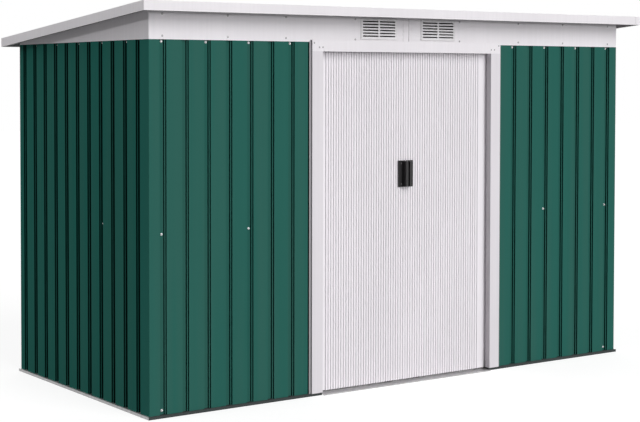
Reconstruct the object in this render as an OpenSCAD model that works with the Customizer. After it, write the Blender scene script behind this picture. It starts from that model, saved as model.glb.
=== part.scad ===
// Lean-to metal tool shed: grooved green sheets on a galvanised base frame, a white front with two
// sliding ribbed doors, a white header band with louvred vents, and a single-pitch roof.
// Origin at the middle of the underside, +Z up, the doors face -Y.

/* [Walls] */
// Outside length of the walls, corner to corner
wall_len = 2660; // [2300:10:3200]
// Outside depth of the walls, front to rear
wall_dep = 1188; // [1000:2:1600]
// Height of the top edge of the front and side wall sheets
wall_top = 1512; // [1350:1:1900]
// Thickness of the formed sheet
sheet_t = 1; // [0.6:0.1:1.4]
// Thickness of the folded rails, angles and trims
rail_t = 1.5; // [1:0.1:2]

/* [Grooves] */
// Spacing of the grooves in the sheets
groove_pitch = 104.5; // [90:0.5:130]
// Depth of a groove
groove_d = 12.5; // [9:0.5:13.5]
// Width of a groove at the face of the sheet
groove_w = 33; // [26:1:38]
// Width of a groove at its floor
groove_floor = 17; // [12:1:20]
// Share of a groove's side that is a ledge half-way down
groove_ledge = 0.55; // [0.4:0.05:0.7]
// Middle of the first groove of a front panel, from the corner
front_groove = 64; // [56:1:80]
// Middle of the first groove of a side wall, from the front corner
side_groove = 88; // [60:1:100]
// Plain sheet kept at each end of a row of grooves
edge_flat = 36; // [34:1:60]
// Strip left bare at the raw edge of a lapped sheet
lap_edge = 2; // [1:0.5:4]

/* [Frame] */
// How far the base rail stands out from the wall
base_proud = 8; // [4:1:14]
// Height of the ledge that the sheets stand on
base_h = 12; // [8:1:20]
// Height of the base rail's inner upstand
base_up = 42; // [30:1:60]
// Reach of the base rail's foot behind the face of the wall
base_foot = 50; // [46:1:80]
// Width of each leg of a corner angle
corner_leg = 30; // [20:1:32]
// Height of the middle and top rails
rail_h = 40; // [30:1:60]
// Depth of the middle and top rails
rail_d = 14; // [10:0.5:15]
// Height of the middle rails' centre line
mid_rail_z = 750; // [500:5:840]

/* [Front] */
// Width of the doorway between the posts
door_w = 966; // [800:2:1000]
// Drop of the door header's underside below the top of the wall sheets
head_drop = 40; // [30:1:60]
// Height of the door header's face
head_h = 48; // [42:1:70]
// Width of a door post's face
post_w = 57; // [40:1:80]
// How far the posts and the header stand out from the wall
post_proud = 13.6; // [8:0.2:20]
// Width of a door post's outer flange
post_flange = 10; // [6:1:16]
// How far the outer flanges of the posts and the header stand off the wall
flange_lift = 5; // [2:0.5:6]
// Width of a door post's rear lip
post_lip = 30; // [24:1:36]
// How far a wall sheet reaches into its door post
post_seat = 22; // [18:1:23]
// How far the sill stands out from the wall
sill_proud = 22; // [15:1:30]
// Height of the sill
sill_h = 5; // [3:0.5:5]

/* [Header band] */
// Rise of the roof's underside over the wall sheets at the front wall
front_rise = 124.5; // [116:0.5:160]
// Rise of the roof's underside over the side wall sheets at the rear wall
rear_rise = 18.5; // [10:0.5:40]
// Width of the header band's flanges
band_flange = 27; // [16:1:40]
// Open seam between the two halves of the header band
band_seam = 3; // [2:0.5:6]
// Width of the raised strip beside the seam
seam_strip = 31; // [20:1:40]
// Width of a vent
vent_w = 200; // [160:1:240]
// Height of a vent
vent_h = 92; // [80:1:96]
// Thickness of a vent's frame
vent_t = 3; // [2:0.5:5]
// Distance of a vent's middle from the middle of the front
vent_x = 170; // [150:1:260]
// Height of a vent's lower edge over the wall sheets
vent_rise = 15; // [12:1:18]
// Slots in each column of a vent
slot_rows = 6; // [4:1:7]
// Spacing of the slots
slot_pitch = 12.7; // [11:0.1:13.2]
// Height of a slot
slot_h = 6; // [4:0.1:7]
// Width of the bar between the two columns of slots
vent_bar = 9; // [6:1:14]
// Width of the vent's frame beside the slots
vent_edge = 10; // [8:1:16]
// Reach of a louvre blade behind the vent's frame
blade_reach = 5; // [3:0.5:8]
// Rise of a louvre blade over its reach
blade_rise = 1.2; // [0.5:0.1:3]
// Thickness of a louvre blade
blade_t = 1.4; // [1:0.1:2]

/* [Roof] */
// Overhang of the roof at the front
front_overhang = 87; // [60:1:120]
// Overhang of the roof at the rear
rear_overhang = 46; // [40:1:100]
// Overhang of the roof at each end
side_overhang = 71; // [50:1:100]
// Height of the roof trims
fascia_h = 39.5; // [30:0.5:50]
// Thickness of the roof trims
fascia_t = 1.2; // [0.8:0.1:2]
// Width of a trim's upper flange
fascia_cap = 32; // [24:1:40]
// Width of a trim's lower lip
fascia_lip = 12; // [8:1:20]
// Width of the end trims' returns round the corners
fascia_wrap = 30; // [20:1:40]
// Width of the roof beam
beam_w = 40; // [30:1:60]
// Height of the roof beam
beam_h = 56; // [40:1:60]

/* [Doors] */
// Gap between the two closed doors
door_gap = 5; // [5:0.5:8]
// How far a closed door reaches behind its post
door_lap = 25; // [20:1:40]
// How far the doors run behind the face of the wall
door_back = 21; // [20.5:0.5:24]
// Height of the doors' lower edge
door_bottom = 10.5; // [10.5:0.5:14]
// How far the doors reach above the underside of the header
door_over = 13; // [6:1:13]
// Slide of each door
door_travel = 430; // [300:5:435]
// Spacing of the doors' ribs
rib_pitch = 13.9; // [12:0.1:18]
// Depth of the doors' ribs
rib_d = 4; // [2:0.5:5]
// Width of a rib at its crown
rib_crown = 5; // [3:0.5:6]
// Width of a rib at its root
rib_root = 10; // [8:0.5:11]
// Plain strip at a door's outer edge
door_stile = 56; // [40:1:70]
// Depth of the doors' inner rails
door_rail_d = 20; // [18:0.5:24]
// Height of the doors' inner rails
door_rail_h = 30; // [24:1:50]
// Distance of the inner rails from the meeting edge
door_rail_set = 27; // [26:1:40]
// Reach of the cover lip behind the other door
cover_reach = 17; // [12:1:18]
// Clear width inside the upper and lower tracks
track_w = 12; // [10:0.5:13]
// Depth of the upper track
track_h = 18; // [14:0.5:20]
// Height of the lower track
lower_track_h = 4; // [3:0.5:4]
// Length of a glide
glide_len = 40; // [25:1:60]
// Running clearance of the glides
glide_gap = 0.3; // [0.2:0.1:0.5]
// Distance of the glides from the ends of the inner rails
glide_set = 30; // [10:1:60]

/* [Handles] */
// Width of a handle
handle_w = 38; // [32:1:42]
// Height of a handle
handle_h = 118; // [90:1:160]
// Height of the handles' centre line
handle_z = 933; // [900:1:1100]
// Thickness of a handle's plate
handle_t = 4; // [3:0.5:6]
// How far the grip stands out from the door
grip_proud = 30; // [15:0.5:32]
// Width of the grip
grip_w = 15; // [10:0.5:18]
// Radius of the grip's front edges
grip_r = 4; // [2:0.5:4.5]
// Distance of the grip from the ends of the plate
grip_end = 3; // [1:0.5:20]

/* [Hidden] */
$fn = 32;

// Small working gap where sloping or end faces meet
seat = 0.2;

green = [0.19, 0.38, 0.35];
white = [0.9, 0.89, 0.9];
steel = [0.6, 0.59, 0.6];
dark = [0.25, 0.27, 0.27];
black = [0.08, 0.07, 0.08];

// Plan of the walls and the roof
half_len = wall_len / 2;
half_roof = half_len + side_overhang;
roof_dep = wall_dep + front_overhang + rear_overhang;
roof_front = -roof_dep / 2;
roof_rear = roof_dep / 2;
front_y = roof_front + front_overhang;
rear_y = front_y + wall_dep;

// Depths behind the face of a wall
groove_back = groove_d + sheet_t;
lap_back = groove_d + 2 * sheet_t;
rail_back = lap_back + rail_d;

// Slope of the roof and the planes that follow it
fall = (front_rise - rear_rise) / wall_dep;
pitch = atan(fall);
roof_build = lap_back / cos(pitch);
function roof_under(y) = wall_top + front_rise - (y - front_y) * fall;
function support_z(y) = roof_under(y) - seat;
function cap_z(y) = roof_under(y) + roof_build + seat;
function trim_top(y) = cap_z(y) + fascia_t;
rear_top = support_z(rear_y);

// Front openings and the doors
door_half = door_w / 2;
post_outer = door_half + post_w;
panel_end = door_half + post_seat;
leaf_in = door_gap / 2;
leaf_out = door_half + door_lap;
head_z = wall_top - head_drop;
head_top = head_z + head_h;
door_top = head_z + door_over;
door_skin = door_back + rib_d;
door_inner = door_skin + sheet_t;
track_mid = door_inner + door_rail_d / 2;
head_flange = track_mid + track_w / 2 + rail_t;
track_half = leaf_out + door_travel + glide_len / 2;
rails_in = leaf_in + door_rail_set;
rails_out = leaf_out - rail_t;

// Counts and places of the grooves
function groove_count(space) = floor(space / groove_pitch) + 1;
function groove_row(first, count) = [for (i = [0:count - 1]) first + i * groove_pitch];
groove_side = groove_w / 2 + edge_flat;
front_grooves = groove_row(front_groove,
  groove_count(half_len - post_outer - post_flange - groove_w / 2 - front_groove));
side_grooves = groove_row(side_groove, groove_count(wall_dep - side_groove - groove_side));
function centred_row(length) =
  let (count = groove_count(length - 2 * groove_side))
  groove_row(-(count - 1) * groove_pitch / 2, count);
rear_grooves = centred_row(wall_len);
roof_grooves = centred_row(2 * half_roof - 2 * fascia_cap);

// Folded sheets

// Side of a groove centred at g, from its floor up to the face: way is -1 on its left, 1 on its right.
// Two steep folds with a ledge between them. The third number says which way the back of a fold moves.
fold_run = (groove_w - groove_floor) / 2 * (1 - groove_ledge) / 2;
fold_back = tan(atan2(groove_d / 2, fold_run) / 2);
function groove_side_line(g, way, floor_d) = [for (p = [[groove_floor / 2, floor_d],
  [groove_floor / 2 + fold_run, groove_d / 2], [groove_w / 2 - fold_run, groove_d / 2], [groove_w / 2, 0]])
  [g + way * p[0], p[1], way]];
function reversed(list) = [for (i = [len(list) - 1:-1:0]) list[i]];
function left_side_line(g) = reversed(groove_side_line(g, -1, groove_d));

// Face line of a sheet from a to b. A lapped end lies in the floor of a groove centred there:
// the end sheet lies on top, and the starting sheet one thickness behind it.
function face_line(a, b, grooves, lap_a, lap_b) = concat(
  lap_a ? concat([[a - groove_floor / 2 + lap_edge, groove_back, 0]], groove_side_line(a, 1, groove_back))
    : [[a, 0, 0]],
  [for (g = grooves) each concat(left_side_line(g), groove_side_line(g, 1, groove_d))],
  lap_b ? concat(left_side_line(b), [[b + groove_floor / 2 - lap_edge, groove_d, 0]]) : [[b, 0, 0]]);

// Closed section from a face line, with its back one thickness behind it
function thicken(line) = concat([for (p = line) [p[0], p[1]]],
  [for (p = reversed(line)) [p[0] + p[2] * fold_back * sheet_t, p[1] + sheet_t]]);
function sheet(a, b, grooves, lap_a = false, lap_b = false) =
  thicken(face_line(a, b, grooves, lap_a, lap_b));

// One of several lapped sheets that share a row of grooves
function lap_at(row, part, parts) = round(len(row) * part / parts);
function lapped_sheet(a, b, row, part, parts) =
  let (first = part > 0 ? lap_at(row, part, parts) : -1)
  let (last = part < parts - 1 ? lap_at(row, part + 1, parts) : len(row))
  sheet(part > 0 ? row[first] : a, part < parts - 1 ? row[last] : b,
    [for (i = [first + 1:1:last - 1]) row[i]], part > 0, part < parts - 1);

// Upright sheet from its section, given along the wall and behind its face
module front_upright(section, z0, z1)
  translate([0, front_y, z0]) linear_extrude(z1 - z0) polygon(section);
module rear_upright(section, z0, z1)
  translate([0, rear_y, z0]) linear_extrude(z1 - z0) polygon([for (p = section) [p[0], -p[1]]]);
module left_upright(section, z0, z1)
  translate([-half_len, front_y, z0]) linear_extrude(z1 - z0) polygon([for (p = section) [p[1], p[0]]]);

// Run along X of a section given in Y and Z
module x_run(section, x0, x1)
  translate([x0, 0, 0]) rotate([90, 0, 90]) linear_extrude(x1 - x0) polygon(section);
// Run along Y of a section given in X and Z
module y_run(section, y0, y1)
  translate([0, y1, 0]) rotate([90, 0, 0]) linear_extrude(y1 - y0) polygon(section);
// Box between two corners
module block(a, b) translate(a) cube(b - a);

// C-shaped rail section with its web at a, opening inwards to b
function channel(a, b, z0, z1) = [[a, z0], [b, z0], [b, z0 + rail_t], [a + rail_t, z0 + rail_t],
  [a + rail_t, z1 - rail_t], [b, z1 - rail_t], [b, z1], [a, z1]];
function behind_front(section) = [for (p = section) [front_y + p[0], p[1]]];
function behind_rear(section) = [for (p = section) [rear_y - p[0], p[1]]];
function behind_left(section) = [for (p = section) [-half_len + p[0], p[1]]];

module right_side() mirror([1, 0, 0]) children();

// Base frame

base_section = [[-base_proud, 0], [-base_proud, base_h], [lap_back, base_h], [lap_back, base_up],
  [lap_back + rail_t, base_up], [lap_back + rail_t, rail_t], [base_foot, rail_t], [base_foot, 0],
  [lap_back, 0], [lap_back, base_h - rail_t], [rail_t - base_proud, base_h - rail_t],
  [rail_t - base_proud, 0]];

// Prism that mitres a rail: outer edge from p to q, inner edge from s to r
module mitre(p, q, r, s) linear_extrude(base_up) polygon([p, q, r, s]);

base_x = half_len + base_proud;
foot_x = half_len - base_foot;
module base_rail_front_left() color(dark) intersection() {
  x_run(behind_front(base_section), -base_x, -door_half);
  mitre([seat - base_x, front_y - base_proud], [-door_half, front_y - base_proud],
    [-door_half, front_y + base_foot], [seat - foot_x, front_y + base_foot]);
}
module base_rail_front_right() right_side() base_rail_front_left();
module base_rail_rear() color(steel) intersection() {
  x_run(behind_rear(base_section), -base_x, base_x);
  mitre([seat - base_x, rear_y + base_proud], [base_x - seat, rear_y + base_proud],
    [foot_x - seat, rear_y - base_foot], [seat - foot_x, rear_y - base_foot]);
}
module base_rail_left() color(steel) intersection() {
  y_run(behind_left(base_section), front_y - base_proud, rear_y + base_proud);
  mitre([-base_x, front_y - base_proud], [-base_x, rear_y + base_proud],
    [-foot_x, rear_y - base_foot], [-foot_x, front_y + base_foot]);
}
module base_rail_right() right_side() base_rail_left();

// Folded sill between the posts: a raised nose, then a flat foot under the lower track
sill_section = [[-sill_proud, 0], [-sill_proud, sill_h], [lap_back, sill_h], [lap_back, rail_t],
  [base_foot, rail_t], [base_foot, 0], [lap_back - rail_t, 0], [lap_back - rail_t, sill_h - rail_t],
  [rail_t - sill_proud, sill_h - rail_t], [rail_t - sill_proud, 0]];
module door_sill() color(steel) x_run(behind_front(sill_section), -door_half, door_half);

// Wall sheets

module front_left_panel() color(green) front_upright(
  sheet(-half_len, -panel_end, [for (g = front_grooves) g - half_len]), base_h, wall_top);
module front_right_panel() color(green) right_side() front_left_panel();

module left_sheet(part) color(green) left_upright(
  lapped_sheet(sheet_t, wall_dep - sheet_t, side_grooves, part, 2), base_h, wall_top);
module left_wall_front_sheet() left_sheet(0);
module left_wall_rear_sheet() left_sheet(1);
module right_wall_front_sheet() right_side() left_sheet(0);
module right_wall_rear_sheet() right_side() left_sheet(1);

module rear_sheet(part) color(green) rear_upright(
  lapped_sheet(-half_len, half_len, rear_grooves, part, 3), base_h, rear_top);
module rear_wall_left_sheet() rear_sheet(0);
module rear_wall_middle_sheet() rear_sheet(1);
module rear_wall_right_sheet() rear_sheet(2);

// Inner frame

angle_section = [[0, 0], [corner_leg, 0], [corner_leg, rail_t], [rail_t, rail_t], [rail_t, corner_leg],
  [0, corner_leg]];
module corner_angle() linear_extrude(wall_top - base_h) polygon(angle_section);
module both_ends() {
  children();
  mirror([1, 0, 0]) children();
}
module front_corner_angles() color(steel) both_ends()
  translate([-half_len + sheet_t, front_y + sheet_t, base_h]) corner_angle();
module rear_corner_angles() color(steel) both_ends()
  translate([-half_len + sheet_t, rear_y - sheet_t, base_h]) mirror([0, 1, 0]) corner_angle();

mid_z0 = mid_rail_z - rail_h / 2;
mid_z1 = mid_rail_z + rail_h / 2;
top_z0 = wall_top - rail_h;
inner_x = half_len - rail_back;
rail_y0 = front_y + groove_back;
rail_y1 = rear_y - rail_back;
module front_mid_straps() color(steel) both_ends() block(
  [-inner_x, rail_y0, mid_z0], [-door_half - post_lip - sheet_t, rail_y0 + rail_t, mid_z1]);
module side_mid_rails() color(steel) both_ends() y_run(
  behind_left(channel(lap_back, rail_back, mid_z0, mid_z1)), rail_y0, rail_y1);
module rear_mid_rail() color(steel) x_run(
  behind_rear(channel(lap_back, rail_back, mid_z0, mid_z1)), lap_back - half_len, half_len - lap_back);

// Angle over the doors: its web behind the panels, its flange carrying the band and the upper track
module front_top_rail() color(steel) x_run(behind_front([[groove_back, top_z0],
  [groove_back + rail_t, top_z0], [groove_back + rail_t, wall_top - rail_t], [head_flange, wall_top - rail_t],
  [head_flange, wall_top], [groove_back, wall_top]]), -inner_x, inner_x);
module side_top_rails() color(steel) both_ends() y_run(
  behind_left(channel(lap_back, rail_back, top_z0, wall_top)), rail_y0, rail_y1);
module rear_top_rail() color(steel) x_run(
  behind_rear(channel(lap_back, rail_back, rear_top - rail_h, rear_top)),
  lap_back - half_len, half_len - lap_back);

// Door frame

// Right post in plan: outer flange, side, face, inner return and the lip behind the panel
flange_face = -flange_lift - sheet_t;
post_section = [[post_outer + post_flange, flange_face], [post_outer + post_flange, -flange_lift],
  [post_outer - sheet_t, -flange_lift], [post_outer - sheet_t, sheet_t - post_proud],
  [door_half + sheet_t, sheet_t - post_proud], [door_half + sheet_t, groove_back],
  [door_half + post_lip, groove_back], [door_half + post_lip, lap_back], [door_half, lap_back],
  [door_half, -post_proud], [post_outer, -post_proud], [post_outer, flange_face]];
module right_door_post() color(white) front_upright(post_section, base_h, head_z);
module left_door_post() right_side() right_door_post();

module door_header() color(white) {
  face_y = front_y - post_proud;
  block([-post_outer, face_y, head_z], [post_outer, face_y + sheet_t, head_top]);
  block([-post_outer, face_y, head_top - sheet_t], [post_outer, front_y, head_top]);
  block([-door_half, face_y, head_z], [door_half, rail_y0, head_z + sheet_t]);
  both_ends() {
    block([post_outer - sheet_t, face_y, head_z], [post_outer, front_y - flange_lift, head_top]);
    block([post_outer - sheet_t, front_y + flange_face, head_z],
      [post_outer + post_flange, front_y - flange_lift, wall_top]);
  }
}

// Upper track: a channel open below, under the flange of the top rail
track_out = track_w / 2 + rail_t;
track_top = wall_top - rail_t;
track_foot = track_top - track_h;
upper_track_section = [[track_mid - track_out, track_foot], [track_mid - track_w / 2, track_foot],
  [track_mid - track_w / 2, track_top - rail_t], [track_mid + track_w / 2, track_top - rail_t],
  [track_mid + track_w / 2, track_foot], [track_mid + track_out, track_foot],
  [track_mid + track_out, track_top], [track_mid - track_out, track_top]];
module upper_door_track() color(steel) x_run(behind_front(upper_track_section), -track_half, track_half);

// Lower track: a shallow channel open above, on the feet of the sill and the base rails
lower_top = rail_t + lower_track_h;
lower_floor = 2 * rail_t;
lower_track_section = [[track_mid - track_out, rail_t], [track_mid + track_out, rail_t],
  [track_mid + track_out, lower_top], [track_mid + track_w / 2, lower_top],
  [track_mid + track_w / 2, lower_floor], [track_mid - track_w / 2, lower_floor],
  [track_mid - track_w / 2, lower_top], [track_mid - track_out, lower_top]];
module lower_door_track() color(steel) x_run(behind_front(lower_track_section), -track_half, track_half);

// Header band and gables

vent_z0 = wall_top + vent_rise;
vent_lap = vent_edge - 2 * sheet_t;
module vent_hole() block(
  [vent_x - vent_w / 2 + vent_lap, front_y - sheet_t, vent_z0 + vent_lap],
  [vent_x + vent_w / 2 - vent_lap, front_y + 2 * sheet_t, vent_z0 + vent_h - vent_lap]);

// Folded pan of the left half: face, lower flange on the top rail, upper flange under the roof, closed end
band_inner = front_y + band_flange;
seam_x = -band_seam / 2;
module band_pan() {
  module run(section, x0) x_run(section, x0, seam_x);
  run([[front_y, wall_top], [front_y + sheet_t, wall_top], [front_y + sheet_t, support_z(front_y + sheet_t)],
    [front_y, support_z(front_y)]], -half_len);
  run([[front_y, wall_top], [band_inner, wall_top], [band_inner, wall_top + sheet_t],
    [front_y, wall_top + sheet_t]], sheet_t - half_len);
  run([[front_y, support_z(front_y) - sheet_t], [band_inner, support_z(band_inner) - sheet_t],
    [band_inner, support_z(band_inner)], [front_y, support_z(front_y)]], sheet_t - half_len);
  run([[front_y, wall_top], [band_inner, wall_top], [band_inner, support_z(band_inner)],
    [front_y, support_z(front_y)]], seam_x - sheet_t);
}
module header_band_left() color(white) {
  difference() {
    band_pan();
    right_side() vent_hole();
  }
  block([seam_x - seam_strip, front_y - sheet_t, head_top + seat], [seam_x, front_y, support_z(front_y)]);
}
module header_band_right() color(white) difference() {
  right_side() band_pan();
  vent_hole();
}

slot_w = (vent_w - 2 * vent_edge - vent_bar) / 2;
slots_h = (slot_rows - 1) * slot_pitch + slot_h;
slots_z0 = vent_z0 + (vent_h - slots_h) / 2;
// Blade behind a slot, rising inwards from the bar below it
blade_section = [[0, -blade_t], [blade_reach, blade_rise - blade_t], [blade_reach, blade_rise], [0, 0]];
module vent() {
  difference() {
    block([vent_x - vent_w / 2, front_y - vent_t, vent_z0], [vent_x + vent_w / 2, front_y, vent_z0 + vent_h]);
    each_slot() translate([0, -2 * vent_t, 0]) cube([slot_w, 3 * vent_t, slot_h]);
  }
  each_slot() x_run(blade_section, 0, slot_w);
}
module each_slot() for (row = [0:slot_rows - 1], side = [-1, 1])
  translate([vent_x + side * (slot_w + vent_bar) / 2 - slot_w / 2, front_y, slots_z0 + row * slot_pitch])
  children();
module header_vents() color(white) both_ends() vent();

gable_y0 = front_y + sheet_t;
gable_y1 = rear_y - sheet_t;
module left_gable() color(white) {
  x_run([[gable_y0, wall_top], [gable_y1, wall_top], [gable_y1, support_z(gable_y1)],
    [gable_y0, support_z(gable_y0)]], -half_len, sheet_t - half_len);
  block([-half_len, front_y + band_flange + seat, wall_top],
    [-inner_x, rail_y1 - seat, wall_top + sheet_t]);
}
module right_gable() right_side() left_gable();

// Roof

beam_y0 = (front_y + rear_y - beam_w) / 2;
beam_y1 = beam_y0 + beam_w;
beam_z0 = support_z(beam_y1) - beam_h;
module roof_beam() color(steel) x_run([[beam_y0, beam_z0], [beam_y1, beam_z0], [beam_y1, beam_z0 + rail_t],
  [beam_y0 + rail_t, beam_z0 + rail_t], [beam_y0 + rail_t, support_z(beam_y0 + rail_t) - rail_t],
  [beam_y1, support_z(beam_y1) - rail_t], [beam_y1, support_z(beam_y1)], [beam_y0, support_z(beam_y0)]],
  sheet_t - half_len, half_len - sheet_t);

// Roof sheets lie in a frame tilted to the slope, with their flats on its X and Y plane
roof_edge = half_roof - fascia_t - seat;
sheet_y0 = roof_front + 2 * fascia_t + lap_back * sin(pitch) + seat;
sheet_y1 = roof_rear - 2 * fascia_t - seat;
module roof_sheet(part) color(white)
  translate([0, sheet_y0, roof_under(sheet_y0) + roof_build]) rotate([-pitch, 0, 0])
  y_run([for (p = lapped_sheet(-roof_edge, roof_edge, roof_grooves, part, 3)) [p[0], -p[1]]],
    0, (sheet_y1 - sheet_y0) / cos(pitch));
module roof_left_sheet() roof_sheet(0);
module roof_middle_sheet() roof_sheet(1);
module roof_right_sheet() roof_sheet(2);

// Strip that follows the slope, from z0 to z1 above the flats of the roof
function slope_strip(y0, y1, z0, z1) = [[y0, cap_z(y0) + z0], [y1, cap_z(y1) + z0],
  [y1, cap_z(y1) + z1], [y0, cap_z(y0) + z1]];
fascia_z0 = fascia_t - fascia_h;

// Trim along an eave: its face at y, its cap and lip reaching in the direction of way.
// Its ends stand between the caps and the lips of the end trims.
module eave_fascia(y, way) {
  face_x = half_roof - fascia_t - seat;
  cap_x = half_roof - fascia_cap - seat;
  lip_x = half_roof - fascia_lip - seat;
  lip_z = fascia_z0 + fascia_t;
  module strip(reach, z0, z1, x)
    x_run(slope_strip(min(y, y + way * reach), max(y, y + way * reach), z0, z1), -x, x);
  strip(fascia_t, lip_z + seat, -seat, face_x);
  strip(fascia_t, fascia_z0, -seat, lip_x);
  strip(fascia_t, fascia_z0, fascia_t, cap_x);
  strip(fascia_cap, 0, fascia_t, cap_x);
  strip(fascia_lip, fascia_z0, lip_z, lip_x);
}
module front_fascia() color(white) eave_fascia(roof_front + fascia_t, 1);
module rear_fascia() color(white) eave_fascia(roof_rear - fascia_t, -1);

module left_fascia() color(white) {
  x_run(slope_strip(roof_front, roof_rear, fascia_z0, fascia_t), -half_roof, fascia_t - half_roof);
  x_run(slope_strip(roof_front, roof_rear, 0, fascia_t), -half_roof, fascia_cap - half_roof);
  x_run(slope_strip(roof_front, roof_rear, fascia_z0, fascia_z0 + fascia_t), -half_roof,
    fascia_lip - half_roof);
  x_run(slope_strip(roof_front, roof_front + fascia_t, fascia_z0, fascia_t), -half_roof,
    fascia_wrap - half_roof);
  x_run(slope_strip(roof_rear - fascia_t, roof_rear, fascia_z0, fascia_t), -half_roof,
    fascia_wrap - half_roof);
}
module right_fascia() right_side() left_fascia();

// Sliding doors, drawn as the right door

// The ribs keep their spacing across the gap between the doors, so the gap lies between two ribs
rib_first = max(rib_pitch / 2, leaf_in + rib_crown / 2 + 1);
rib_count = floor((leaf_out - door_stile - rib_root / 2 - rib_first) / rib_pitch) + 1;
rib_slope = 2 * rib_d / (rib_root - rib_crown);
edge_d = min(rib_d, rib_slope * (rib_first - rib_crown / 2 - leaf_in));
edge_slope = edge_d < rib_d ? rib_slope : 0;
door_fold = door_inner + rib_d;
door_line = concat([[leaf_in, edge_d, 0]],
  [for (i = [0:rib_count - 1], p = [[-rib_root / 2, rib_d], [-rib_crown / 2, 0], [rib_crown / 2, 0],
    [rib_root / 2, rib_d]]) if (rib_first + i * rib_pitch + p[0] > leaf_in)
    [rib_first + i * rib_pitch + p[0], p[1], 0]],
  [[leaf_out, rib_d, 0]]);
module door_panel() {
  translate([0, door_back, 0]) front_upright(thicken(door_line), door_bottom, door_top);
  front_upright([[leaf_out - sheet_t, door_skin], [leaf_out, door_skin], [leaf_out, door_fold],
    [leaf_out - sheet_t, door_fold]], door_bottom, door_top);
}
module right_door_panel() color(white) {
  door_panel();
  cover_y = door_inner + rib_d + sheet_t;
  edge_y = door_back + edge_d;
  front_upright([[leaf_in, edge_y], [leaf_in + sheet_t, edge_y - edge_slope * sheet_t],
    [leaf_in + sheet_t, cover_y + sheet_t], [-cover_reach, cover_y + sheet_t], [-cover_reach, cover_y],
    [leaf_in, cover_y]], door_bottom, door_top);
}
module left_door_panel() color(white) right_side() door_panel();

module door_rails() {
  x_run(behind_front(channel(door_inner, door_inner + door_rail_d, door_bottom, door_bottom + door_rail_h)),
    rails_in, rails_out - sheet_t);
  x_run(behind_front(channel(door_inner, door_inner + door_rail_d, door_top - door_rail_h, door_top)),
    rails_in, rails_out - sheet_t);
}
module right_door_rails() color(white) door_rails();
module left_door_rails() color(white) right_side() door_rails();

module glide(x, z0, z1) block([x, front_y + track_mid - track_w / 2 + glide_gap, z0],
  [x + glide_len, front_y + track_mid + track_w / 2 - glide_gap, z1]);
module door_glides() for (x = [rails_in + glide_set, rails_out - glide_set - glide_len]) {
  glide(x, door_top, track_top - 3 * rail_t);
  glide(x, lower_floor + glide_gap, door_bottom);
}
module right_door_glides() color(black) door_glides();
module left_door_glides() color(black) right_side() door_glides();

// Pull handle: a screwed plate, and a grip along the meeting edge with rounded front edges
handle_x = leaf_in + sheet_t;
handle_z0 = handle_z - handle_h / 2;
module grip_plan() {
  square([grip_w, grip_proud - grip_r]);
  translate([grip_r, 0]) square([grip_w - 2 * grip_r, grip_proud]);
  for (x = [grip_r, grip_w - grip_r]) translate([x, grip_proud - grip_r]) circle(grip_r);
}
module door_handle() translate([handle_x, front_y + door_back, handle_z0]) mirror([0, 1, 0]) {
  cube([handle_w, handle_t, handle_h]);
  translate([0, 0, grip_end]) linear_extrude(handle_h - 2 * grip_end) grip_plan();
}
module right_door_handle() color(black) door_handle();
module left_door_handle() color(black) right_side() door_handle();

base_rail_front_left();
base_rail_front_right();
base_rail_left();
base_rail_right();
base_rail_rear();
door_sill();
front_left_panel();
front_right_panel();
left_wall_front_sheet();
left_wall_rear_sheet();
right_wall_front_sheet();
right_wall_rear_sheet();
rear_wall_left_sheet();
rear_wall_middle_sheet();
rear_wall_right_sheet();
front_corner_angles();
rear_corner_angles();
front_mid_straps();
side_mid_rails();
rear_mid_rail();
front_top_rail();
side_top_rails();
rear_top_rail();
left_door_post();
right_door_post();
door_header();
upper_door_track();
lower_door_track();
header_band_left();
header_band_right();
header_vents();
left_gable();
right_gable();
roof_beam();
roof_left_sheet();
roof_middle_sheet();
roof_right_sheet();
front_fascia();
rear_fascia();
left_fascia();
right_fascia();
left_door_panel();
left_door_rails();
left_door_glides();
left_door_handle();
right_door_panel();
right_door_rails();
right_door_glides();
right_door_handle();
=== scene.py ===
"""Looks of the metal tool shed: its finishes, its screws and door seal, and the stage, light and camera."""

import math

import bmesh
import bpy
from mathutils import Matrix, Vector


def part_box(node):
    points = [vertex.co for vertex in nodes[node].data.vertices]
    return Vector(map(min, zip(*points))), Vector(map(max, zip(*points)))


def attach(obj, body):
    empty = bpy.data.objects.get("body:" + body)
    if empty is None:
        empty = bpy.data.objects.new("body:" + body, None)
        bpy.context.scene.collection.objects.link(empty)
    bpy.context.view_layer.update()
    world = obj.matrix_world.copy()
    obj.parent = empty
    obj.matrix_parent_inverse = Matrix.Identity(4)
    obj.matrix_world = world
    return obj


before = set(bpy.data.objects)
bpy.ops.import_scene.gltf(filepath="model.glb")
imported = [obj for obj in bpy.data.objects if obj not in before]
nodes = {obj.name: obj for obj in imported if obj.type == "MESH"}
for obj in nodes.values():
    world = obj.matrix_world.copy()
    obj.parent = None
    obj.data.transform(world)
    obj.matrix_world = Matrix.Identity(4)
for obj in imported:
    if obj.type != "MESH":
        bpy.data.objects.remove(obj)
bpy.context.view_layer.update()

# Sizes repeated from the part's source, in metres
GROOVE_PITCH = 0.1045
GROOVE_DEPTH = 0.0125
FRONT_GROOVE = 0.064
SIDE_GROOVE = 0.088
FRONT_GROOVES = 7
SIDE_GROOVES = 11
REAR_GROOVES = 25
ROOF_GROOVES = 26
TRIM_OVER_FLATS = 0.0014
POST_OUTER = 0.5405
PLATE_PROUD = 0.004

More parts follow.
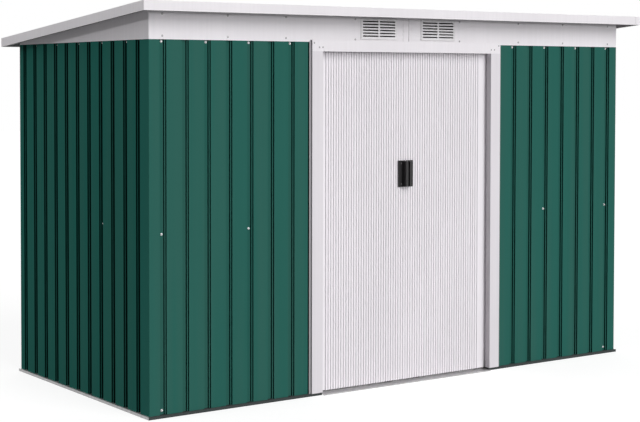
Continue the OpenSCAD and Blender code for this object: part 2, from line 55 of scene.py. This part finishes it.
# Places of the frame's main faces
FRONT_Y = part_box("front_left_panel")[0][1]
REAR_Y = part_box("rear_wall_left_sheet")[1][1]
HALF_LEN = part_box("front_right_panel")[1][0]
WALL_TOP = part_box("front_left_panel")[1][2]
REAR_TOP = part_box("rear_wall_left_sheet")[1][2]
BEAM_Y = (FRONT_Y + REAR_Y) / 2
BAND_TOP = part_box("header_band_left")[1][2]
HEAD_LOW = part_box("door_header")[0]
ROOF_LOW, ROOF_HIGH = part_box("left_fascia")
ROOF_FALL = (BAND_TOP - REAR_TOP) / (REAR_Y - FRONT_Y)
ROOF_UP = Vector((0, ROOF_FALL, 1)).normalized()

FRONT = Vector((0, -1, 0))
REAR = Vector((0, 1, 0))
LEFT = Vector((-1, 0, 0))
RIGHT = Vector((1, 0, 0))
UP = Vector((0, 0, 1))

# Colours, linear
GREEN = (0.0275, 0.133, 0.109)
# Green of the side and rear walls: the front's green with less red, a shaded copy painted for the hue of
# the shaded sides
SHADED_SIDE_GREEN = (0.0205, 0.133, 0.109)
POST_WHITE = (0.82, 0.788, 0.826)
DOOR_WHITE = (0.94, 0.906, 0.945)
WHITE = (0.92, 0.888, 0.924)
TRIM_WHITE = (0.92, 0.89, 0.923)
# White of the gables: a darker copy of the wall white, painted shade for the shaded gables
SHADED_GABLE_WHITE = (0.8, 0.772, 0.804)
# Greys of the posts' outer flanges and outer sides: painted shade
FLANGE_SHADE_GREY = (0.38, 0.37, 0.385)
OUTER_SIDE_SHADE_GREY = (0.36, 0.345, 0.36)
BACKING = (0.45, 0.45, 0.435)
# Dark grey of the door frame's upward faces
LEDGE_GREY = (0.26, 0.25, 0.24)
# Grey of the roof's and trims' undersides: a backing coat, darkened as painted shade
SOFFIT_SHADE_GREY = (0.13, 0.127, 0.128)
STEEL = (0.42, 0.415, 0.42)
BRIGHT_ZINC = (0.82, 0.82, 0.83)
BLACK_ZINC = (0.09, 0.085, 0.09)
VENT_WHITE = (0.84, 0.82, 0.84)
BLACK = (0.012, 0.011, 0.012)
# Dark grey of the front base rails: painted shade under the front sheets
FRONT_BASE_SHADE = (0.05, 0.058, 0.058)

# Textures, in cells per metre
SLOW_TONE = (1.6, 1.6, 0.7)
ROLL_STREAK = (70, 70, 0.6)
HUE_STREAK = (17, 17, 0.5)
FLECK = (900, 900, 900)
ORANGE_PEEL = (420, 420, 420)
OIL_CAN = (3.5, 3.5, 1.3)
SPANGLE = (85, 85, 85)
ZINC_GRAIN = (240, 240, 240)
GLOSS_SHIFT = (14, 14, 14)
SPARK = (1400, 1400, 1400)

# Range in which most values of a noise lie
NOISE_LOW = 0.3
NOISE_HIGH = 0.7

# Cosines from which a face counts as outside, and as square on
OUTSIDE = -0.02
SQUARE_ON = 0.7


# Shader helpers


class Tree:
    """A material's node tree, with its Principled shader."""

    def __init__(self, name):
        self.material = bpy.data.materials.new(name)
        self.material.use_nodes = True
        self.tree = self.material.node_tree
        self.shader = self.tree.nodes["Principled BSDF"]

    def add(self, kind, inputs=None, **settings):
        """Adds a node. An input is a value, or another node's output."""
        made = self.tree.nodes.new(kind)
        for key, value in settings.items():
            setattr(made, key, value)
        for key, value in (inputs or {}).items():
            self.link(value, made.inputs[key])
        return made

    def link(self, value, socket):
        if isinstance(value, bpy.types.NodeSocket):
            self.tree.links.new(value, socket)
        else:
            socket.default_value = value

    def set(self, **inputs):
        """Sets the shader's sockets."""
        for key, value in inputs.items():
            self.link(value, self.shader.inputs[key.replace("_", " ")])

    def math(self, operation, first, second):
        return self.add("ShaderNodeMath", {0: first, 1: second}, operation=operation).outputs[0]

    def dot(self, first, second):
        made = self.add("ShaderNodeVectorMath", {0: first, 1: second}, operation="DOT_PRODUCT")
        return made.outputs["Value"]

    def spot(self):
        """The point in the part's own coordinates."""
        return self.add("ShaderNodeTexCoord").outputs["Object"]

    def scaled(self, scale):
        made = self.add("ShaderNodeMapping", {"Vector": self.spot(), "Scale": scale})
        return made.outputs["Vector"]

    def noise(self, scale, detail=2):
        inputs = {"Vector": self.scaled(scale), "Scale": 1, "Detail": detail}
        return self.add("ShaderNodeTexNoise", inputs).outputs["Fac"]

    def span(self, value, low, high, start=0.0, stop=1.0):
        """Maps start to stop onto low to high."""
        inputs = {"Value": value, "From Min": start, "From Max": stop, "To Min": low, "To Max": high}
        return self.add("ShaderNodeMapRange", inputs).outputs["Result"]

    def mix(self, share, first, second):
        made = self.add("ShaderNodeMix", data_type="RGBA")
        self.link(share, made.inputs["Factor"])
        for value, key in ((first, "A"), (second, "B")):
            socket = next(s for s in made.inputs if s.name == key and s.type == "RGBA")
            self.link(value if isinstance(value, bpy.types.NodeSocket) else (*value, 1), socket)
        return next(s for s in made.outputs if s.type == "RGBA")

    def bump(self, height, strength, distance, normal=None):
        inputs = {"Height": height, "Strength": strength, "Distance": distance}
        if normal:
            inputs["Normal"] = normal
        return self.add("ShaderNodeBump", inputs).outputs["Normal"]

    def facing(self, outward, least=SQUARE_ON):
        """1 on the faces that look towards outward, else 0."""
        normal = self.add("ShaderNodeNewGeometry").outputs["True Normal"]
        return self.math("GREATER_THAN", self.dot(normal, outward), least)

    def beyond(self, outward, distance):
        """1 on what lies further out than the distance, measured from the middle along outward, else 0."""
        return self.math("GREATER_THAN", self.dot(self.spot(), outward), distance)

    def both(self, first, second):
        return self.math("MULTIPLY", first, second)

    def opposite(self, share):
        return self.math("SUBTRACT", 1, share)


def tint(colour, factor):
    return tuple(min(1, c * factor) for c in colour)


DEEP_SHADE = 0.04


class Finish(Tree):
    """A material of one colour, which varies, and which others cover in places."""

    def __init__(self, name, colour):
        super().__init__(name)
        self.base = colour

    def take(self, colour):
        self.colour = colour
        self.set(Base_Color=colour)

    def vary(self, share, least, most):
        """Starts the colour, from least to most times the base as share goes from 0 to 1."""
        self.take(self.mix(share, tint(self.base, least), tint(self.base, most)))

    def cover(self, share, colour):
        self.take(self.mix(share, self.colour, colour))

    def shade(self, share, amount):
        """Darkens where share is 1, by amount."""
        self.cover(self.both(share, amount), tint(self.base, DEEP_SHADE))

    def back(self, outward, colour):
        """Gives another colour to the faces that look away from outward."""
        self.take(self.mix(self.facing(outward, OUTSIDE), colour, self.colour))


# Finishes

SHEET_GLOSS = 0.12
GREEN_GLOSS = 0.006
PLASTIC_GLOSS = 0.4
GLOSS_SWING = 0.05
WARM_STREAK = 1.3
# Painted shade: in the grooves of the wall sheets, on the flanks of the door ribs and on the vents' sides
FLOOR_LEVEL = 0.8
FRONT_FLOOR_SHADE = 0.12
SIDE_FLOOR_SHADE = 0.75
STEP_SHADE = 0.85
RIB_SHADE = 0.17
VENT_SHADE = 0.5
# Share of the white left on the door frame's returns: painted shade
RETURN_SHADE = 0.7
EDGE_IN = 0.001
# Distance from the middle inside which the front sheets take a painted shadow beside the door posts
POST_GAP = 0.553


def coated(name, colour, gloss=SHEET_GLOSS):
    """Roll-coated steel: faint rolling streaks, a slow shift of tone, orange peel, slight oil-canning."""
    finish = Finish(name, colour)
    tone = finish.noise(SLOW_TONE, 3)
    finish.vary(finish.span(tone, 0, 1, NOISE_LOW, NOISE_HIGH), 0.96, 1.04)
    finish.cover(finish.span(finish.noise(ROLL_STREAK), 0, 0.35, 0.35, 0.7), tint(colour, 0.92))
    finish.cover(finish.span(finish.noise(FLECK), 0, 0.12, 0.62, 0.8), tint(colour, 0.8))
    peel = finish.bump(finish.noise(ORANGE_PEEL, 1), 0.12, 0.0004)
    wave = finish.bump(finish.noise(OIL_CAN, 1), 0.25, 0.004, peel)
    finish.set(Roughness=finish.span(tone, 0.5, 0.6, NOISE_LOW, NOISE_HIGH))
    finish.set(Normal=wave, Specular_IOR_Level=gloss)
    return finish


def green_sheet(name, colour, outward, face, floor_shade, gap=None):
    """Grooved wall sheet: warmer streaks, painted shade in its grooves and on their steps, with a grey coat
    inside.

    The face is how far out its flats lie. It has painted shadow nearer than gap to the middle, beside a
    door post.
    """
    finish = coated(name, colour, GREEN_GLOSS)
    warmer = (WARM_STREAK * colour[0], colour[1], colour[2])
    finish.cover(finish.span(finish.noise(HUE_STREAK), 0, 0.8, 0.4, 0.62), warmer)
    # Painted shade on the floors of the grooves
    floor = finish.opposite(finish.beyond(outward, face - FLOOR_LEVEL * GROOVE_DEPTH))
    finish.shade(floor, floor_shade)
    # Painted shade on the steps of the grooves
    finish.shade(finish.opposite(finish.facing(outward)), STEP_SHADE)
    if gap:
        # Painted shadow under and beside the door posts' flanges
        inner = [finish.opposite(finish.beyond(way, gap)) for way in (LEFT, RIGHT)]
        finish.shade(finish.both(*inner), STEP_SHADE)
    finish.back(outward, BACKING)
    return finish


def door_coat(name, colour):
    """Painted shade on the flanks of the ribs."""
    finish = coated(name, colour)
    finish.shade(finish.opposite(finish.facing(FRONT)), RIB_SHADE)
    finish.back(FRONT, colour)
    return finish


def frame_coat(name, colour):
    """Dark grey on its ledges, with painted shade on its returns, past the posts' outer edges and on the
    posts' outer sides.
    """
    finish = coated(name, colour)
    finish.cover(finish.facing(UP), LEDGE_GREY)
    # Painted shade on the returns, past the posts' outer edges and on the posts' outer sides
    for way in (LEFT, RIGHT):
        finish.cover(finish.facing(way), tint(colour, RETURN_SHADE))
        finish.cover(finish.beyond(way, POST_OUTER), FLANGE_SHADE_GREY)
        outer_side = finish.both(finish.facing(way), finish.beyond(way, POST_OUTER - EDGE_IN))
        finish.cover(outer_side, OUTER_SIDE_SHADE_GREY)
    return finish


def roof_coat(name, colour):
    """Dark grey on its underside: a grey backing coat, darkened as painted shade under the eaves."""
    finish = coated(name, colour)
    finish.back(UP, SOFFIT_SHADE_GREY)
    return finish


def galvanised(name, colour, metal):
    """Zinc: crystal spangle in tone and gloss, with a fine grain."""
    finish = Finish(name, colour)
    cell = finish.add("ShaderNodeTexVoronoi", {"Vector": finish.scaled(SPANGLE), "Scale": 1})
    grain = finish.add("ShaderNodeSeparateColor", {"Color": cell.outputs["Color"]}).outputs[0]
    fine = finish.noise(ZINC_GRAIN, 3)
    finish.vary(grain, 0.86, 1.16)
    finish.cover(finish.span(fine, 0, 0.4, 0.45, 0.7), tint(colour, 0.8))
    finish.set(Metallic=metal, Roughness=finish.span(grain, 0.36, 0.52))
    finish.set(Normal=finish.bump(fine, 0.1, 0.0003))
    return finish


def moulded(name, colour, roughness):
    """Injection-moulded plastic with a fine spark texture and a slow shift of gloss."""
    finish = Finish(name, colour)
    slow = finish.noise(GLOSS_SHIFT)
    finish.vary(finish.span(slow, 0, 1, NOISE_LOW, NOISE_HIGH), 0.95, 1.05)
    least = roughness - GLOSS_SWING
    most = roughness + GLOSS_SWING
    finish.set(Roughness=finish.span(slow, least, most, NOISE_LOW, NOISE_HIGH))
    finish.set(Normal=finish.bump(finish.noise(SPARK), 0.2, 0.0003), Specular_IOR_Level=PLASTIC_GLOSS)
    return finish


def vent_plastic(name, colour, roughness):
    """Painted shade on the faces that turn away from the front."""
    finish = moulded(name, colour, roughness)
    finish.shade(finish.opposite(finish.facing(FRONT)), VENT_SHADE)
    return finish


def paint(finish, *names):
    """Gives a finish to CAD nodes."""
    for name in names:
        mesh = nodes[name].data
        mesh.materials.clear()
        mesh.materials.append(finish.material)


paint(green_sheet("green_front", GREEN, FRONT, -FRONT_Y, FRONT_FLOOR_SHADE, POST_GAP),
      "front_left_panel", "front_right_panel")
# The side and rear walls take the shaded copy of the green as painted shade
paint(green_sheet("green_left", SHADED_SIDE_GREEN, LEFT, HALF_LEN, SIDE_FLOOR_SHADE),
      "left_wall_front_sheet", "left_wall_rear_sheet")
paint(green_sheet("green_right", SHADED_SIDE_GREEN, RIGHT, HALF_LEN, SIDE_FLOOR_SHADE),
      "right_wall_front_sheet", "right_wall_rear_sheet")
paint(green_sheet("green_rear", SHADED_SIDE_GREEN, REAR, REAR_Y, SIDE_FLOOR_SHADE),
      "rear_wall_left_sheet", "rear_wall_middle_sheet", "rear_wall_right_sheet")

white = coated("white_coat", WHITE)
paint(white, "header_band_left", "header_band_right", "left_door_rails", "right_door_rails")
# The gables take a darker white as painted shade
paint(coated("white_gable_shaded", SHADED_GABLE_WHITE), "left_gable", "right_gable")
paint(frame_coat("white_frame", POST_WHITE), "left_door_post", "right_door_post")
paint(frame_coat("white_header", WHITE), "door_header")
paint(door_coat("white_door", DOOR_WHITE), "left_door_panel", "right_door_panel")
paint(roof_coat("white_trim", TRIM_WHITE), "front_fascia", "rear_fascia", "left_fascia", "right_fascia")
paint(roof_coat("white_roof", WHITE), "roof_left_sheet", "roof_middle_sheet", "roof_right_sheet")
# The front base rails take a dark coat as painted shade
paint(coated("dark_coat", FRONT_BASE_SHADE), "base_rail_front_left", "base_rail_front_right")

steel = galvanised("zinc", STEEL, metal=0.75)
bright_zinc = galvanised("bright_zinc", BRIGHT_ZINC, metal=0.3)
black_zinc = galvanised("black_zinc", BLACK_ZINC, metal=0.3)
paint(steel, "base_rail_left", "base_rail_right", "base_rail_rear", "door_sill", "front_corner_angles",
      "rear_corner_angles", "front_mid_straps", "side_mid_rails", "rear_mid_rail", "front_top_rail",
      "side_top_rails", "rear_top_rail", "upper_door_track", "lower_door_track", "roof_beam")

paint(vent_plastic("vent_plastic", VENT_WHITE, roughness=0.45), "header_vents")
paint(moulded("black_plastic", BLACK, roughness=0.42),
      "left_door_handle", "right_door_handle", "left_door_glides", "right_door_glides")
seal_white = moulded("seal_white", DOOR_WHITE, roughness=0.6)


# Pieces


def add_object(name, mesh, finish):
    """Makes an object of a bmesh, and frees the bmesh."""
    data = bpy.data.meshes.new(name)
    mesh.to_mesh(data)
    mesh.free()
    data.materials.append(finish.material)
    made = bpy.data.objects.new(name, data)
    bpy.context.collection.objects.link(made)
    return made


def add_piece(name, mesh, finish, body):
    """Makes a piece that moves with a body."""
    piece = add_object(name, mesh, finish)
    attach(piece, body)


# Screw heads

WASHER_SIDES = 18
HEX_SIDES = 6
PAN_SIDES = 16
SCREW_TURN = 0.7


def add_ring(mesh, place, radius, height, sides):
    turn = 2 * math.pi / sides
    corners = [(radius * math.cos(i * turn), radius * math.sin(i * turn), height) for i in range(sides)]
    return [mesh.verts.new(place @ Vector(corner)) for corner in corners]


def add_turned(mesh, place, size, outline, sides):
    """A closed turned solid from (radius, height) pairs times size, the first and the last ring capped."""
    rings = [add_ring(mesh, place, radius * size, height * size, sides) for radius, height in outline]
    for low, high in zip(rings, rings[1:]):
        for i in range(sides):
            j = (i + 1) % sides
            mesh.faces.new((low[i], low[j], high[j], high[i]))
    mesh.faces.new(list(reversed(rings[0])))
    mesh.faces.new(rings[-1])


def hex_screw(mesh, place, size):
    """Hexagon head with a chamfer, on a dished washer. The size is the washer's radius."""
    washer = ((1, -0.2), (1, 0.1), (0.8, 0.25))
    head = ((0.62, 0.15), (0.62, 0.68), (0.5, 0.8))
    add_turned(mesh, place, size, washer, WASHER_SIDES)
    add_turned(mesh, place, size, head, HEX_SIDES)


def pan_screw(mesh, place, size):
    """Round head with a shallow dome and a recess. The size is its radius."""
    dome = ((1, -0.2), (1, 0.12), (0.85, 0.36), (0.55, 0.52), (0.26, 0.56), (0.2, 0.3))
    add_turned(mesh, place, size, dome, PAN_SIDES)


def screws(name, spots, size, body, finish, shape=hex_screw):
    """One piece of all the screws at the spots: (point, outward direction) pairs."""
    mesh = bmesh.new()
    for count, (point, outward) in enumerate(spots):
        turn = Matrix.Rotation(SCREW_TURN * count, 4, "Z")
        aim = outward.to_track_quat("Z", "Y").to_matrix().to_4x4()
        shape(mesh, Matrix.Translation(point) @ aim @ turn, size)
    add_piece(name, mesh, finish, body)


# Wall screws, in the floors of the grooves

WALL_SCREW = 0.0055
TOP_DROP = 0.008
MID_FRONT = 0.735
MID_SIDE = 0.75
LOW_ROW = 0.028
FULL_SIDE_GROOVE = 3


def front_spots():
    spots = []
    for side in (-1, 1):
        for k in range(0, FRONT_GROOVES, 2):
            x = side * (HALF_LEN - FRONT_GROOVE - k * GROOVE_PITCH)
            rows = [WALL_TOP - TOP_DROP]
            if k % 4 == 0:
                rows.append(MID_FRONT)
            if k == 0:
                rows.append(LOW_ROW)
            spots += [(Vector((x, FRONT_Y + GROOVE_DEPTH, z)), FRONT) for z in rows]
    return spots


def side_spots():
    spots = []
    for side, outward in ((-1, LEFT), (1, RIGHT)):
        for k in range(1, SIDE_GROOVES, 2):
            y = FRONT_Y + SIDE_GROOVE + k * GROOVE_PITCH
            rows = [WALL_TOP - TOP_DROP]
            if k == FULL_SIDE_GROOVE:
                rows.append(MID_SIDE)
            spots += [(Vector((side * (HALF_LEN - GROOVE_DEPTH), y, z)), outward) for z in rows]
    return spots


def rear_spots():
    spots = []
    for k in range(0, REAR_GROOVES, 2):
        x = (k - (REAR_GROOVES - 1) / 2) * GROOVE_PITCH
        rows = [REAR_TOP - TOP_DROP]
        if k % 4 == 0:
            rows += [MID_SIDE, LOW_ROW]
        spots += [(Vector((x, REAR_Y - GROOVE_DEPTH, z)), REAR) for z in rows]
    return spots


wall_spots = front_spots() + side_spots() + rear_spots()
screws("wall_screws", wall_spots, WALL_SCREW, "shed", bright_zinc)


# Roof screws, in every third groove

ROOF_SCREW = 0.0065
ROOF_ROW_IN = 0.014
ROOF_ROWS = (FRONT_Y + ROOF_ROW_IN, BEAM_Y, REAR_Y - ROOF_ROW_IN)


def trim_top(y):
    """Height of the roof trims' upper face."""
    return ROOF_HIGH[2] - (y - ROOF_LOW[1]) * ROOF_FALL


def roof_spots():
    drop = TRIM_OVER_FLATS + GROOVE_DEPTH / ROOF_UP.z
    places = [(k - (ROOF_GROOVES - 1) / 2) * GROOVE_PITCH for k in range(0, ROOF_GROOVES, 3)]
    return [(Vector((x, y, trim_top(y) - drop)), ROOF_UP) for x in places for y in ROOF_ROWS]


screws("roof_screws", roof_spots(), ROOF_SCREW, "shed", bright_zinc)


# Trim screws, along the middle of the upper flange of each roof trim

TRIM_SCREW = 0.0034
TRIM_SET = 0.024
TRIM_PITCH = 0.33
LONG_TRIM = range(-4, 5)
END_TRIM = (-1.5, -0.5, 0.5, 1.5)


def trim_spots():
    places = []
    for side in (-1, 1):
        places += [(k * TRIM_PITCH, side * (ROOF_HIGH[1] - TRIM_SET)) for k in LONG_TRIM]
        places += [(side * (-ROOF_LOW[0] - TRIM_SET), k * TRIM_PITCH) for k in END_TRIM]
    return [(Vector((x, y, trim_top(y))), ROOF_UP) for x, y in places]


screws("trim_screws", trim_spots(), TRIM_SCREW, "shed", white, pan_screw)


# Screws on the header band, as places from the middle and heights over the walls

BAND_SCREW = 0.0045
BAND_PLACES = (0.30, 0.667, 0.958, 1.268)
BAND_HEIGHTS = (0.014, 0.101)


def band_spots():
    places = [(side * x, z) for side in (-1, 1) for x in BAND_PLACES for z in BAND_HEIGHTS]
    return [(Vector((x, FRONT_Y, WALL_TOP + z)), FRONT) for x, z in places]


screws("band_screws", band_spots(), BAND_SCREW, "shed", steel, pan_screw)


# Screws on the door header, as places from the middle and heights over its lower edge

HEAD_SCREW = 0.004
HEAD_PLACES = ((0.53, 0.036), (0.503, 0.0175), (0.484, 0.0175))


def head_spots():
    places = [(side * x, z) for side in (-1, 1) for x, z in HEAD_PLACES]
    return [(Vector((x, HEAD_LOW[1], HEAD_LOW[2] + z)), FRONT) for x, z in places]


screws("header_screws", head_spots(), HEAD_SCREW, "shed", steel, pan_screw)


# Screws on the plate of each door's handle, beside the grip

HANDLE_SCREW = 0.0038
HANDLE_SET = 0.025
HANDLE_END = 0.013


def handle_screws(side, way):
    low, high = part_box(side + "_door_handle")
    plate_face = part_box(side + "_door_panel")[0][1] - PLATE_PROUD
    rows = (low[2] + HANDLE_END, high[2] - HANDLE_END)
    spots = [(Vector((way * HANDLE_SET, plate_face, z)), FRONT) for z in rows]
    screws(side + "_handle_screws", spots, HANDLE_SCREW, side + "_door", black_zinc, pan_screw)


handle_screws("left", -1)
handle_screws("right", 1)


# Bulb seal in the gap between the doors, held by the right door

SEAL_OFF = 0.0004
SEAL_ROOT = 0.0002
SEAL_BACK = 0.004
SEAL_SIDES = 12


def meeting_seal():
    low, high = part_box("right_door_panel")
    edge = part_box("left_door_panel")[1][0]
    left = edge + SEAL_OFF
    right = -edge + SEAL_ROOT
    reach = (right - left) / 2
    middle = left + reach
    root = low[1] + SEAL_BACK
    turns = [math.pi * i / SEAL_SIDES for i in range(SEAL_SIDES + 1)]
    outline = [(middle - reach * math.cos(a), root - reach * math.sin(a)) for a in turns]
    mesh = bmesh.new()
    ends = [[mesh.verts.new((x, y, z)) for x, y in outline] for z in (low[2], high[2])]
    count = len(outline)
    for i in range(count):
        j = (i + 1) % count
        mesh.faces.new((ends[0][i], ends[0][j], ends[1][j], ends[1][i]))
    mesh.faces.new(list(reversed(ends[0])))
    mesh.faces.new(ends[1])
    add_piece("meeting_seal", mesh, seal_white, "right_door")


meeting_seal()


# Stage, light and camera

# The floor's size, its colour where it is seen and where it only lights the part, and the light on it
FLOOR_SIZE = 60
FLOOR_SEEN = 0.3
FLOOR_BOUNCE = 0.42
FLOOR_LIGHT = 0.575
SKY = 0.13

# Each lamp's name, direction, strength and spread in degrees
LAMPS = (
    ("key", (0.14, -0.85, 0.54), 1.8, 42),
    ("front_fill", (0.14, -0.98, 0.09), 0.64, 10),
    ("side_fill", (-0.85, 0.2, 0.25), 0.42, 6),
    ("side_soft", (-0.7, 0.2, 0.6), 0.52, 56),
    ("rear_fill", (0.5, 0.8, 0.45), 1.0, 60),
)

# The camera in metres and degrees, its lens and sensor in millimetres, its shift in shares of the width
CAMERA_PLACE = (-4.2381, -5.6234, 1.3508)
CAMERA_TILT = 1.875
CAMERA_TURN = 33.78
CAMERA_LENS = 82.886
SENSOR_WIDTH = 36
SHIFT_X = 0.1129
SHIFT_Y = -0.1295


def seen_directly(tree):
    """1 on rays from the camera, mirrors and glass, else 0."""
    path = tree.add("ShaderNodeLightPath").outputs
    seen = tree.math("MAXIMUM", path["Is Camera Ray"], path["Is Glossy Ray"])
    return tree.math("MAXIMUM", seen, path["Is Transmission Ray"])


def make_floor():
    tree = Tree("floor")
    seen = seen_directly(tree)
    grey = tree.mix(seen, (FLOOR_BOUNCE,) * 3, (FLOOR_SEEN,) * 3)
    glow = tree.span(seen, 0, 1 - FLOOR_SEEN * FLOOR_LIGHT)
    tree.set(Base_Color=grey, Roughness=1.0, Specular_IOR_Level=0.0)
    tree.set(Emission_Color=(1, 1, 1, 1), Emission_Strength=glow)
    mesh = bmesh.new()
    bmesh.ops.create_grid(mesh, x_segments=1, y_segments=1, size=FLOOR_SIZE / 2)
    floor = add_object("floor", mesh, tree)


class WorldTree(Tree):
    """The world's node tree, with its Background shader."""

    def __init__(self, world):
        world.use_nodes = True
        self.tree = world.node_tree
        self.shader = self.tree.nodes["Background"]


def make_world():
    world = bpy.data.worlds.new("studio")
    bpy.context.scene.world = world
    tree = WorldTree(world)
    tree.set(Color=(1, 1, 1, 1), Strength=tree.span(seen_directly(tree), SKY, 1.0))


def make_lamp(name, towards, strength, spread):
    """A soft lamp that shines from the direction towards."""
    light = bpy.data.lights.new(name, "SUN")
    light.energy = strength
    light.angle = math.radians(spread)
    lamp = bpy.data.objects.new(name, light)
    lamp.rotation_euler = Vector(towards).to_track_quat("Z", "Y").to_euler()
    bpy.context.collection.objects.link(lamp)


def make_camera():
    camera = bpy.data.cameras.new("camera")
    camera.sensor_fit = "HORIZONTAL"
    camera.sensor_width = SENSOR_WIDTH
    camera.lens = CAMERA_LENS
    camera.shift_x = SHIFT_X
    camera.shift_y = SHIFT_Y
    holder = bpy.data.objects.new("camera", camera)
    holder.location = CAMERA_PLACE
    holder.rotation_euler = (math.radians(90 - CAMERA_TILT), 0, -math.radians(CAMERA_TURN))
    bpy.context.collection.objects.link(holder)
    bpy.context.scene.camera = holder


make_floor()
make_world()
for lamp in LAMPS:
    make_lamp(*lamp)
make_camera()
bpy.context.scene.view_settings.view_transform = "Standard"
